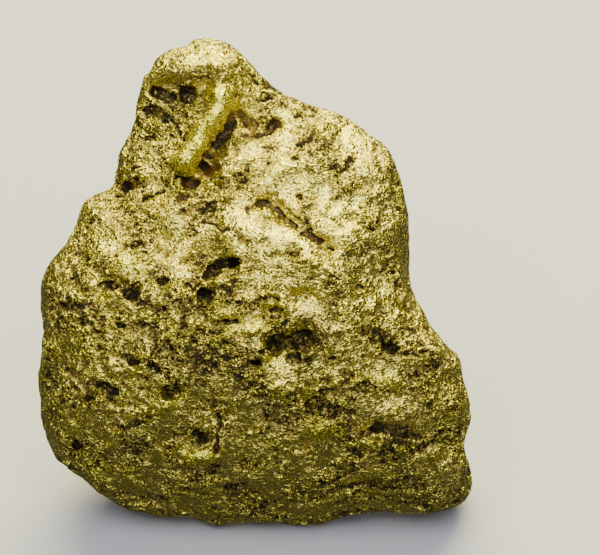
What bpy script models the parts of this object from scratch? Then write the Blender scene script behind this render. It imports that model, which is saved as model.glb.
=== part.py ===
"""A native gold nugget, standing on the small flat of its lower edge.

The nugget is one piece: a broad waterworn face under a narrow head, a fold where its upper right lobe meets the
lower body, and hollows and pits all over. It starts as an icosphere, which is pressed to the outline and the
thickness of the nugget, then gets its lobes, ridges, ledges and hollows, and last the lumps of a waterworn skin.

Lengths below are in millimetres on the broad face: across to the right, up the face, and out towards the viewer.
The finished mesh is in metres, +Z up, with the broad face towards -Y and the origin on the flat it stands on.
"""

import math

import bpy
import numpy as np
from mathutils import Vector, noise

MM = 0.001

# Driving dimensions
LEAN = math.radians(35.0)  # the face's own upright leans back by this much
FLAT_CUT = 1.7  # how much of the lowest edge is worn away into the flat it stands on
FACE_MIDDLE = (-0.5, 22.0)  # the point of the face that the outline is turned around
EDGE_ROUNDNESS = 2.7  # 2 is an ellipse's edge, and more is squarer
SQUARER_RIGHT = 0.6
ROUNDER_TOP = -0.4
RIM_SHARE = 0.5  # relief fades where a side has less than this share of its depth left

# Making of the faceted solid
SPHERE_STEPS = 7
FACE_CROWDING = 0.6  # below 1, more of the ball's points go to the broad faces and fewer to the rim
TRIANGLES = 9800
FLAT_SNAP = 0.03  # points this close to the flat belong to it

# The nugget's outline, clockwise from the top of the head
OUTLINE = [
    (-5.5, 52.1), (-3.1, 51.8), (-1.1, 50.5), (0.8, 48.4), (2.6, 46.5), (4.4, 45.7), (8.0, 44.7), (10.8, 43.2),
    (13.3, 41.2), (15.0, 38.6), (16.0, 35.4), (16.6, 33.2), (16.4, 29.1), (16.8, 25.3), (17.8, 23.1), (19.6, 20.3),
    (20.7, 19.1), (21.7, 18.2), (22.4, 15.1), (23.3, 11.6), (22.9, 8.5), (23.5, 4.9), (23.2, 2.8), (21.6, 1.4),
    (18.8, 0.8), (13.9, 0.9), (10.2, 0.4), (5.9, -0.3), (0.5, -0.3), (-5.4, -0.3), (-9.7, 0.4), (-13.9, 1.2),
    (-17.2, 2.6), (-19.8, 4.8), (-22.0, 7.4), (-23.2, 10.8), (-23.5, 15.7), (-22.9, 20.5), (-23.1, 24.2),
    (-22.7, 27.1), (-21.0, 29.3), (-19.3, 32.4), (-18.3, 34.9), (-16.6, 35.9), (-15.3, 36.6), (-14.7, 38.2),
    (-14.3, 40.3), (-13.1, 42.7), (-12.4, 45.9), (-11.4, 48.6), (-9.4, 50.9), (-7.4, 51.8),
]

# How far out the front, the rim and the back lie, from the bottom of the face to its top
SECTION_UP = [0.0, 5.0, 12.0, 19.0, 26.0, 32.6, 38.5, 45.0, 52.2]
FRONT_OUT = [10.5, 15.4, 19.8, 22.8, 24.0, 23.6, 22.6, 21.8, 20.6]
RIM_OUT = [3.5, 5.2, 8.2, 11.2, 13.6, 15.2, 16.2, 17.2, 18.6]
BACK_OUT = [-7.5, -6.6, -4.4, -1.2, 2.2, 5.8, 8.6, 11.6, 14.6]

# Lines of the front's ridges, grooves and ledges
ARM_RIDGE = [
    (-5.0, 50.0), (-3.6, 48.4), (-3.4, 46.6), (-3.6, 44.8), (-4.6, 43.0), (-5.6, 41.4), (-6.6, 39.8), (-7.8, 38.3),
    (-8.9, 37.6),
]
ARM_CREVICE = [(-1.7, 44.2), (-2.7, 42.4), (-4.2, 40.4), (-5.4, 39.0), (-6.2, 37.6), (-6.9, 36.4)]
LOBE_CREVICE = [(-1.8, 43.8), (-0.3, 42.5), (0.8, 41.9), (1.8, 42.6), (2.8, 43.3)]
HEAD_VALLEY = [(2.2, 46.0), (0.2, 44.8), (-2.2, 42.8), (-4.6, 39.6), (-6.6, 36.8), (-7.6, 35.2)]
NECK_VALLEY = [(-16.4, 35.4), (-13.6, 36.0), (-11.2, 36.2), (-8.4, 36.4)]
BROW_EDGE = [(-12.0, 47.4), (-9.8, 47.6), (-7.4, 47.5), (-4.8, 47.8)]
NECK_LEDGE = [(-9.8, 43.6), (-8.8, 42.8), (-7.6, 41.6)]
LOBE_RIDGE = [(-3.5, 39.9), (-3.0, 38.4), (-3.0, 36.8), (-3.1, 35.4), (-3.6, 34.2)]
LOBE_GROOVE = [(-0.6, 39.0), (-1.2, 37.2), (-2.1, 35.6)]
FOLD = [(-1.6, 33.8), (-0.2, 33.7), (0.9, 34.4), (2.0, 34.1), (3.3, 32.8), (4.8, 31.8), (7.6, 30.3), (9.2, 29.0)]
UPPER_CRACK = [(2.9, 33.9), (3.8, 33.4), (4.9, 32.6), (5.7, 32.9)]
SHOULDER = [(-5.6, 31.4), (-0.5, 31.9), (4.6, 30.0), (8.0, 27.4), (13.0, 24.8)]
TOP_SLIT = [(-12.2, 34.9), (-10.9, 35.5), (-9.5, 35.8)]
HOLLOW_LINE = [(-5.0, 26.7), (-3.8, 27.8), (-1.6, 28.3)]
LEFT_FOLD = [(-19.0, 24.3), (-17.0, 25.2), (-14.6, 26.0), (-12.6, 24.8), (-11.0, 23.9)]
LEFT_LIP = [(-18.4, 23.3), (-16.4, 24.1), (-14.5, 24.6), (-12.8, 23.5), (-11.4, 22.8)]
ARCH = [(0.2, 23.2), (0.9, 24.6), (2.6, 24.8), (3.5, 23.9), (3.9, 22.4)]
WAVY_LEDGE = [(-4.9, 21.6), (-3.6, 21.0), (-1.1, 21.2), (0.7, 21.5), (3.2, 21.3)]
CAVITY = [(1.0, 18.8), (2.2, 19.6), (3.7, 20.1), (5.0, 20.7), (6.1, 19.8)]
LOW_LEFT_LEDGE = [(-11.6, 15.2), (-9.4, 14.9), (-7.6, 14.2)]
LOW_RIGHT_LINE = [(9.6, 4.1), (11.4, 4.0), (13.4, 3.7)]

# Lines of the back's folds, seen from the front
BACK_FOLD = [(-20.0, 27.0), (-10.0, 27.6), (-2.0, 25.0), (7.0, 23.0), (16.0, 24.4)]
BACK_CLEFT = [(1.0, 25.0), (2.4, 17.0), (0.6, 9.0)]
BACK_NECK = [(-9.0, 44.0), (-2.0, 42.6), (5.0, 43.4)]

# Pits of the front, each as across, up, radius and depth
FRONT_PITS = [
    (-7.2, 46.0, 1.0, 0.9), (-11.0, 44.3, 1.3, 0.7), (-6.8, 36.5, 1.0, 1.2), (-4.7, 34.1, 0.9, 0.6),
    (-13.8, 36.2, 0.8, 0.6), (5.7, 33.0, 0.6, 0.6), (5.4, 40.2, 1.0, 0.4), (5.9, 38.1, 0.6, 0.4),
    (4.8, 35.2, 0.6, 0.4), (7.4, 36.4, 0.8, 0.4), (11.3, 36.6, 1.3, 0.5), (8.0, 33.8, 0.7, 0.4),
    (10.4, 32.7, 0.9, 0.4), (5.1, 43.2, 0.5, 0.3), (10.2, 28.7, 0.6, 0.4), (-13.6, 33.5, 0.8, 0.4),
    (-11.6, 33.0, 0.5, 0.4), (-10.7, 31.8, 0.5, 0.5), (-9.6, 28.8, 0.9, 0.5), (-9.8, 26.1, 0.9, 0.5),
    (-6.3, 29.2, 0.9, 0.6), (-4.5, 29.8, 0.9, 0.7), (-1.3, 30.5, 0.7, 0.4), (2.1, 28.8, 0.7, 0.5),
    (4.3, 29.2, 0.7, 0.5), (14.1, 26.9, 0.8, 0.4), (11.4, 25.6, 0.8, 0.5), (-5.1, 24.5, 1.1, 1.2),
    (-20.3, 23.5, 0.8, 0.5), (-13.9, 21.7, 0.7, 0.4), (-10.2, 23.3, 0.7, 0.4), (0.0, 17.5, 0.8, 0.5),
    (4.0, 18.0, 0.8, 0.6), (-12.6, 18.2, 1.2, 0.6), (-15.3, 14.7, 1.1, 0.4), (-13.9, 13.1, 0.6, 0.4),
    (-19.3, 8.5, 0.9, 0.8), (-19.5, 11.6, 0.7, 0.5), (-13.2, 5.1, 0.9, 0.5), (-2.9, 3.9, 0.9, 0.6),
    (-4.3, 2.5, 0.7, 0.5), (11.8, 7.9, 0.9, 0.8), (16.6, 13.3, 0.7, 0.4), (14.4, 19.4, 0.9, 0.5),
    (18.2, 19.3, 0.6, 0.4), (19.5, 3.9, 0.8, 0.5), (15.7, 2.6, 1.3, 0.5), (7.0, 12.9, 0.9, 0.4),
]

# Seeded pits of the sides and the back
OTHER_PITS = 90
SIDE_FACING = -0.25  # a point whose normal leans towards the viewer less than this may have one
OTHER_PIT_RADIUS = (0.6, 1.5)
OTHER_PIT_STRETCH = (0.5, 1.2)
OTHER_PIT_DEPTH = (0.3, 0.6)  # as a share of the radius
PIT_SEED = 11

# The skin's lumps, each as size and height, and how far the laid-out forms stray from their neat shapes
SKIN_LUMPS = [(5.5, 0.5), (2.6, 0.26), (1.3, 0.13)]
FORM_STRAY = (2.6, 0.45)
PIT_STRAY = (1.2, 0.5)
AXIS_STRIDE = Vector((31.0, 17.0, 23.0))  # takes each axis's stray from another place in the noise


def eased(values):
    """Nought to one with a slow start and end."""
    held = np.clip(values, 0.0, 1.0)
    return held * held * (3.0 - 2.0 * held)


def curve_through(xs, ys, at):
    """A smooth curve through the points, read at the given places."""
    xs = np.asarray(xs, float)
    ys = np.asarray(ys, float)
    slopes = np.gradient(ys, xs)
    left = np.clip(np.searchsorted(xs, at) - 1, 0, len(xs) - 2)
    span = xs[left + 1] - xs[left]
    t = np.clip((at - xs[left]) / span, 0.0, 1.0)
    rise = t * t * (3.0 - 2.0 * t)
    leaving = t * (1.0 - t) ** 2
    arriving = t * t * (t - 1.0)
    level = ys[left] + (ys[left + 1] - ys[left]) * rise
    return level + span * (leaving * slopes[left] + arriving * slopes[left + 1])


def outline_reach(turn):
    """How far the outline lies from the face's middle, in each direction."""
    points = np.array(OUTLINE)[::-1] - np.array(FACE_MIDDLE)
    turns = np.unwrap(np.arctan2(points[:, 1], points[:, 0]))
    reaches = np.hypot(points[:, 0], points[:, 1])
    whole = 2.0 * math.pi
    turns = np.concatenate([turns[-2:] - whole, turns, turns[:2] + whole])
    reaches = np.concatenate([reaches[-2:], reaches, reaches[:2]])
    first = turns[2]
    return curve_through(turns, reaches, (turn - first) % whole + first)


class Relief:
    """What is raised on one side of the nugget, in millimetres over the points of its face."""

    def __init__(self, across, up):
        self.across = across
        self.up = up
        self.raised = np.zeros_like(across)

    def lump(self, at, size, rise, turn=0.0, softness=2.0):
        """A rounded lump, or a hollow where the rise is negative, with the half-sizes along and across its turn."""
        angle = math.radians(turn)
        across = self.across - at[0]
        up = self.up - at[1]
        along = across * math.cos(angle) + up * math.sin(angle)
        aside = up * math.cos(angle) - across * math.sin(angle)
        inside = np.clip(1.0 - (along / size[0]) ** 2 - (aside / size[1]) ** 2, 0.0, 1.0)
        self.raised += rise * inside**softness

    def along_line(self, line):
        """Each point's distance from a line, which side of it the point is on, and how far along it."""
        ends = np.array(line)
        steps = np.diff(ends, axis=0)
        lengths = np.hypot(steps[:, 0], steps[:, 1])
        nearest = np.full(self.across.shape, np.inf)
        side = np.zeros_like(self.across)
        place = np.zeros_like(self.across)
        passed = 0.0
        for start, step, length in zip(ends, steps, lengths):
            across = self.across - start[0]
            up = self.up - start[1]
            share = np.clip((across * step[0] + up * step[1]) / length**2, 0.0, 1.0)
            away = np.hypot(across - share * step[0], up - share * step[1])
            closer = away < nearest
            nearest = np.where(closer, away, nearest)
            side = np.where(closer, np.sign(step[0] * up - step[1] * across), side)
            place = np.where(closer, (passed + share * length) / lengths.sum(), place)
            passed += length
        return nearest, side, place

    def ridge(self, line, half_width, rise, taper=0.15):
        """A rounded ridge along a line, or a groove where the rise is negative, which fades at both ends."""
        away, _, place = self.along_line(line)
        ends = eased(place / taper) * eased((1.0 - place) / taper)
        self.raised += rise * ends * np.exp(-((away / half_width) ** 2))

    def ledge(self, line, reach, rise, edge=0.35, taper=0.2):
        """A step along a line: the side on its left is raised at the line and slopes back over the reach."""
        away, side, place = self.along_line(line)
        ends = eased(place / taper) * eased((1.0 - place) / taper)
        beyond = eased(0.5 + 0.5 * side * away / edge)
        self.raised += rise * ends * beyond * (1.0 - eased(away / reach))


def shape_head(face):
    """The domed head with its brow, the recess under it and the arm that runs down from it."""
    face.lump(at=(-5.4, 50.2), size=(8.4, 4.6), rise=2.4)
    face.lump(at=(-7.8, 44.0), size=(5.6, 8.0), rise=0.5)
    face.ledge(BROW_EDGE, reach=4.0, rise=1.5, edge=0.5)
    face.lump(at=(-8.4, 45.9), size=(3.6, 1.5), rise=-1.3, turn=-8)
    face.lump(at=(-11.2, 44.4), size=(2.4, 1.4), rise=-0.7)
    face.lump(at=(-8.6, 41.0), size=(3.6, 3.2), rise=-0.6)
    face.ledge(NECK_LEDGE, reach=1.6, rise=0.5)
    face.ridge(ARM_RIDGE, half_width=1.0, rise=1.9, taper=0.12)


def shape_crevices(face):
    """The valleys that part the head, the upper right lobe and the lower body."""
    face.ridge(HEAD_VALLEY, half_width=1.7, rise=-1.2, taper=0.25)
    face.ridge(ARM_CREVICE, half_width=0.8, rise=-1.3)
    face.ridge(LOBE_CREVICE, half_width=0.9, rise=-1.0)
    face.ridge(NECK_VALLEY, half_width=1.3, rise=-0.9, taper=0.25)
    face.ridge(LOBE_GROOVE, half_width=0.7, rise=-0.6, taper=0.25)
    face.ridge(LOBE_RIDGE, half_width=0.7, rise=0.9, taper=0.25)


def shape_upper_lobe(face):
    """The lobe at the upper right, which slopes back from the fold."""
    face.lump(at=(8.4, 38.0), size=(11.5, 9.5), rise=1.3)
    face.lump(at=(7.2, 42.5), size=(2.2, 1.6), rise=0.5, turn=-15)
    face.lump(at=(12.8, 38.6), size=(3.2, 2.4), rise=0.4)
    face.lump(at=(2.2, 37.6), size=(3.0, 2.2), rise=0.5, turn=25)
    face.lump(at=(11.2, 30.6), size=(4.0, 2.2), rise=0.7, turn=-10)
    face.lump(at=(9.2, 34.8), size=(5.0, 1.6), rise=-0.5, turn=-12)
    face.ledge(FOLD, reach=2.6, rise=0.7, edge=0.4)
    face.ridge(FOLD, half_width=1.5, rise=-0.7, taper=0.25)
    face.ridge(FOLD, half_width=0.6, rise=-0.9)
    face.ridge(UPPER_CRACK, half_width=0.5, rise=-0.5)


def shape_shoulder(face):
    """The rounded shoulder of the lower body and its hollows."""
    face.ridge(SHOULDER, half_width=2.7, rise=1.4, taper=0.3)
    face.lump(at=(-9.4, 33.6), size=(5.6, 3.2), rise=1.3, turn=-6)
    face.lump(at=(-16.2, 32.2), size=(3.6, 3.6), rise=0.5)
    face.lump(at=(-15.4, 28.6), size=(4.4, 2.4), rise=0.6, turn=-30)
    face.ridge(TOP_SLIT, half_width=0.4, rise=-0.5, taper=0.25)
    face.lump(at=(-4.6, 29.0), size=(3.8, 2.2), rise=-1.1, turn=20)
    face.ridge(HOLLOW_LINE, half_width=0.85, rise=-1.7, taper=0.2)
    face.lump(at=(-2.9, 26.0), size=(2.8, 1.0), rise=0.6, turn=15)
    face.lump(at=(-6.8, 24.6), size=(1.4, 1.2), rise=0.5)


def shape_lower_body(face):
    """The broad lower body: its folds, its main cavity and the hollows with bright lower lips."""
    face.lump(at=(-5.4, 21.0), size=(24.0, 13.0), rise=0.9)
    face.ridge(LEFT_FOLD, half_width=0.6, rise=-1.0, taper=0.2)
    face.ridge(LEFT_LIP, half_width=0.6, rise=0.6, taper=0.2)
    face.ridge(ARCH, half_width=0.5, rise=0.5, taper=0.2)
    face.lump(at=(2.2, 23.1), size=(1.6, 1.4), rise=-0.9)
    face.ledge(WAVY_LEDGE, reach=1.8, rise=-0.6, edge=0.4)
    face.ridge(CAVITY, half_width=1.0, rise=-2.2, taper=0.15)
    face.lump(at=(4.6, 18.4), size=(2.0, 0.6), rise=0.5, turn=-8)
    face.lump(at=(3.4, 15.6), size=(3.2, 2.2), rise=0.8)
    face.ledge(LOW_LEFT_LEDGE, reach=1.6, rise=0.5)
    face.lump(at=(-8.8, 14.5), size=(2.0, 0.9), rise=-1.0, turn=-12)
    face.lump(at=(-9.4, 12.9), size=(3.0, 0.9), rise=0.6, turn=6)
    face.lump(at=(-13.6, 11.0), size=(2.4, 0.8), rise=0.4)
    face.lump(at=(-5.8, 9.5), size=(2.4, 1.2), rise=-1.2)
    face.lump(at=(-5.8, 7.5), size=(2.4, 0.8), rise=0.6)
    face.lump(at=(-8.6, 4.4), size=(2.0, 1.0), rise=0.4)
    face.lump(at=(14.4, 10.7), size=(3.2, 1.1), rise=-1.4, turn=-8)
    face.lump(at=(15.0, 9.1), size=(3.2, 0.9), rise=0.6, turn=-6)
    face.lump(at=(7.2, 10.6), size=(3.8, 1.5), rise=0.6, turn=-4)
    face.lump(at=(19.0, 18.8), size=(2.0, 1.2), rise=0.7, turn=-30)
    face.lump(at=(21.6, 18.4), size=(1.6, 1.4), rise=0.5)
    face.lump(at=(21.4, 4.6), size=(2.4, 3.6), rise=0.8)
    face.ridge(LOW_RIGHT_LINE, half_width=0.4, rise=-0.4, taper=0.25)
    face.lump(at=(4.6, 24.4), size=(4.8, 1.6), rise=-0.7, turn=-6)
    face.lump(at=(7.6, 21.0), size=(1.8, 1.0), rise=0.5)
    face.lump(at=(-18.7, 20.1), size=(2.4, 1.1), rise=0.5, turn=10)
    face.lump(at=(-17.3, 14.8), size=(2.0, 1.0), rise=0.5)
    face.lump(at=(-15.7, 7.5), size=(2.2, 1.1), rise=0.5, turn=15)
    face.lump(at=(-3.2, 11.9), size=(1.6, 1.3), rise=-0.6)
    face.lump(at=(7.2, 13.0), size=(2.6, 1.0), rise=-0.7, turn=8)
    face.lump(at=(9.8, 9.3), size=(2.0, 1.0), rise=0.5, turn=10)
    face.lump(at=(14.4, 19.4), size=(1.8, 1.1), rise=-0.7, turn=20)
    face.lump(at=(20.6, 11.0), size=(2.0, 1.5), rise=-0.7)


def shape_back(face):
    """The back, which nothing hides: two broad swellings, a fold between them and some shallow hollows."""
    face.lump(at=(-9.0, 16.0), size=(13.0, 13.0), rise=1.5)
    face.lump(at=(11.0, 12.0), size=(12.0, 10.0), rise=1.2)
    face.lump(at=(3.0, 34.0), size=(12.0, 10.0), rise=1.1)
    face.lump(at=(-5.0, 47.0), size=(7.0, 5.0), rise=1.0)
    face.ridge(BACK_FOLD, half_width=1.4, rise=-1.3, taper=0.25)
    face.ridge(BACK_CLEFT, half_width=1.6, rise=-1.0, taper=0.3)
    face.ridge(BACK_NECK, half_width=1.2, rise=-0.9, taper=0.3)
    face.lump(at=(-13.0, 12.0), size=(4.0, 2.6), rise=-1.0, turn=30)
    face.lump(at=(8.0, 34.0), size=(3.4, 2.2), rise=-0.9, turn=-25)
    face.lump(at=(14.0, 8.0), size=(3.0, 2.4), rise=-0.8)
    face.lump(at=(-6.0, 20.0), size=(3.6, 1.6), rise=-0.7, turn=10)


def wandering(points, scale, amount, offset):
    """The points moved a little by smooth noise, so that what is laid out on them has uneven edges."""
    moved = np.empty_like(points)
    for axis in range(3):
        start = offset + axis * AXIS_STRIDE
        moved[:, axis] = [noise.noise(Vector(point) / scale + start) for point in points]
    return points + amount * moved


def nugget_form(directions):
    """The nugget's points on its face, from the directions of a round ball's points."""
    turn = np.arctan2(directions[:, 1], directions[:, 0])
    level = FACE_CROWDING * np.hypot(directions[:, 0], directions[:, 1])
    facing = np.abs(directions[:, 2])
    roundness = EDGE_ROUNDNESS + SQUARER_RIGHT * np.cos(turn) + ROUNDER_TOP * np.sin(turn)
    scale = (level**roundness + facing**roundness) ** (1.0 / roundness)
    outward = level / scale
    depth_share = facing / scale
    reach = outline_reach(turn)
    across = FACE_MIDDLE[0] + reach * outward * np.cos(turn)
    up = FACE_MIDDLE[1] + reach * outward * np.sin(turn)
    rim = curve_through(SECTION_UP, RIM_OUT, up)
    front = curve_through(SECTION_UP, FRONT_OUT, up)
    back = curve_through(SECTION_UP, BACK_OUT, up)
    in_front = directions[:, 2] > 0.0
    out = rim + np.where(in_front, front - rim, back - rim) * depth_share
    laid = wandering(np.stack([across, up, out], axis=1), *FORM_STRAY, Vector((3.0, 7.0, 1.0)))
    front_relief = Relief(laid[:, 0], laid[:, 1])
    for shape in (shape_head, shape_crevices, shape_upper_lobe, shape_shoulder, shape_lower_body):
        shape(front_relief)
    for pit_across, pit_up, radius, depth in FRONT_PITS:
        front_relief.lump((pit_across, pit_up), (radius, radius), -depth)
    back_relief = Relief(laid[:, 0], laid[:, 1])
    shape_back(back_relief)
    away_from_rim = eased(depth_share / RIM_SHARE)
    out += np.where(in_front, front_relief.raised, -back_relief.raised) * away_from_rim
    return np.stack([across, up, out], axis=1)


def standing(points):
    """Face coordinates turned to the way the nugget stands: across, away from the viewer, and upwards."""
    up = points[:, 1] - FLAT_CUT
    out = points[:, 2]
    away = up * math.sin(LEAN) - out * math.cos(LEAN)
    height = up * math.cos(LEAN) + out * math.sin(LEAN)
    return np.stack([points[:, 0], away, height], axis=1)


def waterworn(points, normals):
    """The skin's lumps at three sizes, and the seeded pits of the sides and the back."""
    raised = np.zeros(len(points))
    for index, (size, height) in enumerate(SKIN_LUMPS):
        offset = Vector((11.0 * index, 5.0, 2.0))
        raised += height * np.array([noise.noise(Vector(point) / size + offset) for point in points])
    dice = np.random.default_rng(PIT_SEED)
    towards_back = np.flatnonzero(normals[:, 1] > SIDE_FACING)
    laid = wandering(points, *PIT_STRAY, Vector((9.0, 1.0, 4.0)))
    for centre in laid[dice.choice(towards_back, OTHER_PITS, replace=False)]:
        radius = dice.uniform(*OTHER_PIT_RADIUS)
        stretched = (laid - centre) * dice.uniform(*OTHER_PIT_STRETCH, 3)
        nearness = np.clip(1.0 - (stretched**2).sum(axis=1) / radius**2, 0.0, 1.0)
        raised -= radius * dice.uniform(*OTHER_PIT_DEPTH) * nearness**1.5
    return points + normals * raised[:, None]


def mesh_points(mesh):
    flat = np.empty(len(mesh.vertices) * 3)
    mesh.vertices.foreach_get("co", flat)
    return flat.reshape(-1, 3)


def set_mesh_points(mesh, points):
    mesh.vertices.foreach_set("co", points.ravel())
    mesh.update()


def vertex_normals(mesh):
    return np.array([vertex.normal for vertex in mesh.vertices])


def gold_material():
    material = bpy.data.materials.new("native_gold")
    material.use_nodes = True
    shader = material.node_tree.nodes["Principled BSDF"]
    shader.inputs["Base Color"].default_value = (0.56, 0.44, 0.13, 1.0)
    shader.inputs["Metallic"].default_value = 1.0
    shader.inputs["Roughness"].default_value = 0.42
    return material


def make_nugget(collection):
    bpy.ops.mesh.primitive_ico_sphere_add(subdivisions=SPHERE_STEPS, radius=1.0)
    nugget = bpy.context.object
    nugget.name = "gold_nugget"
    nugget.data.name = "gold_nugget"
    for holder in list(nugget.users_collection):
        holder.objects.unlink(nugget)
    collection.objects.link(nugget)
    mesh = nugget.data
    directions = mesh_points(mesh)
    directions /= np.linalg.norm(directions, axis=1)[:, None]
    set_mesh_points(mesh, standing(nugget_form(directions)))
    worn = waterworn(mesh_points(mesh), vertex_normals(mesh))
    worn[:, 2] = np.maximum(worn[:, 2], 0.0)
    set_mesh_points(mesh, worn * MM)
    thin = nugget.modifiers.new("faceted", "DECIMATE")
    thin.ratio = TRIANGLES / len(mesh.polygons)
    bpy.context.view_layer.objects.active = nugget
    bpy.ops.object.modifier_apply(modifier=thin.name)
    points = mesh_points(mesh)
    points[:, 2] = np.where(points[:, 2] < FLAT_SNAP * MM, 0.0, points[:, 2])
    set_mesh_points(mesh, points)
    mesh.materials.append(gold_material())
    mesh.shade_smooth()
    return nugget


def clear_scene():
    for leftover in list(bpy.data.objects):
        bpy.data.objects.remove(leftover, do_unlink=True)


def main():
    clear_scene()
    collection = bpy.data.collections.new("native_gold_specimen")
    bpy.context.scene.collection.children.link(collection)
    make_nugget(collection)


main()
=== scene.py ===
import math

import bpy
import numpy as np
from bpy.props import FloatProperty, FloatVectorProperty, IntProperty, PointerProperty
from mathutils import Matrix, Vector, noise
from mathutils.bvhtree import BVHTree


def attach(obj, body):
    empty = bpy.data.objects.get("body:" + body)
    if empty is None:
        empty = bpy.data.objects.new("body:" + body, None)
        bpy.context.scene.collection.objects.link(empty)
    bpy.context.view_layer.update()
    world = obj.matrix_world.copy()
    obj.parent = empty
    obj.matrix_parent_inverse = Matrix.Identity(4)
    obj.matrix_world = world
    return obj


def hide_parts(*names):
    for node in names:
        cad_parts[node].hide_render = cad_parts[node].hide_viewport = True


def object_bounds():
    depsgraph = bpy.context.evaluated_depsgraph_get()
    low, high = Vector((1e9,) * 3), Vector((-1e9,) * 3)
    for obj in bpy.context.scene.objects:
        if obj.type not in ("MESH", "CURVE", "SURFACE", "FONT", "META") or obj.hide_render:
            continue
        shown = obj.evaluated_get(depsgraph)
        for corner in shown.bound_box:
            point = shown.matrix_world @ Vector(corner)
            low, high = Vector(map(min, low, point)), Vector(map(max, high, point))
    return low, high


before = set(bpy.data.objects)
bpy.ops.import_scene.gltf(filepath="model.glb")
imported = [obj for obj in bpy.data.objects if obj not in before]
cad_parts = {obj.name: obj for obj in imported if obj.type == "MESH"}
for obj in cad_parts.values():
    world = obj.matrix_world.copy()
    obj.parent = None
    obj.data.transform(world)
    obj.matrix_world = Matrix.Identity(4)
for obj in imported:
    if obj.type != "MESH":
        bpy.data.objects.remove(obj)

bl_info = {
    "name": "Native Gold Nugget",
    "version": (1, 0, 0),
    "blender": (4, 5, 0),
    "location": "3D View > Sidebar > Nugget",
    "description": "Gives the solid of a gold nugget its pitted, waterworn skin and a small studio",
    "category": "Object",
}

CAD_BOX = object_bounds()
MM = 0.001

# The way the nugget stands: its broad face leans back, and its lowest edge is worn to a flat
LEAN = math.radians(35.0)
FLAT_CUT = 1.7

# What the camera frames: its middle on the broad face and its width there, in millimetres
FRAME_MIDDLE = (4.83, 26.66, 15.0)
FRAME_WIDTH = 64.4

# Soft lights: name, place, width and height, the setting that holds its power, and colour
SOFT_LIGHTS = (
    ("softbox", (0.03, 0.22, 0.36), (0.40, 0.46), "key_power", (1.0, 0.94, 0.42)),
    ("front panel", (0.0, -0.24, 0.43), (0.6, 0.34), "front_power", (0.94, 0.92, 0.80)),
    ("front fill", (0.0, -0.70, 0.22), (0.9, 0.5), "fill_power", (0.80, 0.84, 1.0)),
)
LIGHTS_AIM = Vector((0.0, 0.0, 0.025))
FLOOR_SIZE = 6.0

# The grain that the material shows: sizes and heights in metres, and how much wider it is than high
PATCH_SIZE = 0.004
PORE_SIZE = 0.0008
PORE_DEPTH = 0.00014
SPECK_SIZE = 0.0006
CRUMB_SIZE = 0.0005
CHIP_SIZE = 0.00026
SAND_SIZE = 0.00024
SAND_HEIGHT = 0.00036
GRAIN_STRETCH = (1.15, 1.0, 0.9)


def to_face(points):
    """World points in metres as millimetres across, up and out of the broad face."""
    across, away, height = (points / MM).T
    up = away * math.sin(LEAN) + height * math.cos(LEAN) + FLAT_CUT
    out = height * math.sin(LEAN) - away * math.cos(LEAN)
    return across, up, out


def from_face(across, up, out):
    """The world place, in metres, of a point on the broad face."""
    rise = up - FLAT_CUT
    away = rise * math.sin(LEAN) - out * math.cos(LEAN)
    height = rise * math.cos(LEAN) + out * math.sin(LEAN)
    return Vector((across, away, height)) * MM


class NuggetSkin(bpy.types.PropertyGroup):
    grid_size: FloatProperty(
        name="Skin Grid", description="Spacing of the skin's points before it is thinned", default=0.00013,
        unit="LENGTH", precision=5,
    )
    smoothing: IntProperty(
        name="Smoothing", description="Passes that round off the solid's facets", default=24,
    )
    triangles: IntProperty(
        name="Triangles", description="Most triangles that the finished skin may have", default=196000,
    )
    triangles_behind: IntProperty(
        name="Triangles Behind", description="How many of them lie on the back and under the nugget",
        default=40000,
    )
    swell: FloatProperty(
        name="Swells", description="Height of the low swells of the skin", default=0.00012,
        unit="LENGTH", precision=5,
    )
    pit_depth: FloatProperty(
        name="Pit Depth", description="Depth of the larger pits", default=0.0003, unit="LENGTH", precision=5,
    )


class NuggetFinish(bpy.types.PropertyGroup):
    gold: FloatVectorProperty(
        name="Gold", description="Metal on the level parts of the skin",
        subtype="COLOR", size=4, min=0, max=1, default=(0.87, 0.69, 0.19, 1.0),
    )
    polished: FloatVectorProperty(
        name="Worn Gold", description="Metal on the worn lumps",
        subtype="COLOR", size=4, min=0, max=1, default=(1.0, 0.91, 0.09, 1.0),
    )
    # The dark colour laid in the pits and hollows: dirt with painted shade
    pit: FloatVectorProperty(
        name="Pits", description="Dirt at the bottom of the pits",
        subtype="COLOR", size=4, min=0, max=1, default=(0.05, 0.037, 0.018, 1.0),
    )
    rust: FloatVectorProperty(
        name="Rust", description="Iron stain in the folds",
        subtype="COLOR", size=4, min=0, max=1, default=(0.32, 0.13, 0.012, 1.0),
    )


class NuggetStudio(bpy.types.PropertyGroup):
    floor_color: FloatVectorProperty(
        name="Floor", description="Colour of the plain floor",
        subtype="COLOR", size=4, min=0, max=1, default=(0.49, 0.50, 0.64, 1.0),
    )
    key_power: FloatProperty(
        name="Key Light", description="Power of the overhead softbox", default=6.8, unit="POWER",
    )
    front_power: FloatProperty(
        name="Front Panel", description="Power of the broad panel over the camera", default=3.2, unit="POWER",
    )
    fill_power: FloatProperty(
        name="Fill Light", description="Power of the dim front panel", default=1.4, unit="POWER",
    )
    world_level: FloatProperty(name="Room", description="Brightness of the room around", default=0.07)
    camera_distance: FloatProperty(
        name="Camera Distance", description="From the camera to the nugget", default=0.45, unit="LENGTH",
    )


def eased(values):
    """Nought to one with a slow start and end."""
    held = np.clip(values, 0.0, 1.0)
    return held * held * (3.0 - 2.0 * held)


def noise_at(places, size, seed, octaves=1, stretch=(1.0, 1.0, 1.0)):
    """Smooth noise around nought, with features of about the size, read at places in millimetres."""
    laid = places / (size * np.array(stretch)) + seed * np.array([13.7, 7.3, 5.1])
    if octaves == 1:
        return np.array([noise.noise(place) for place in laid.tolist()])
    return np.array([noise.fractal(place, 0.8, 2.0, octaves) for place in laid.tolist()])


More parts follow.
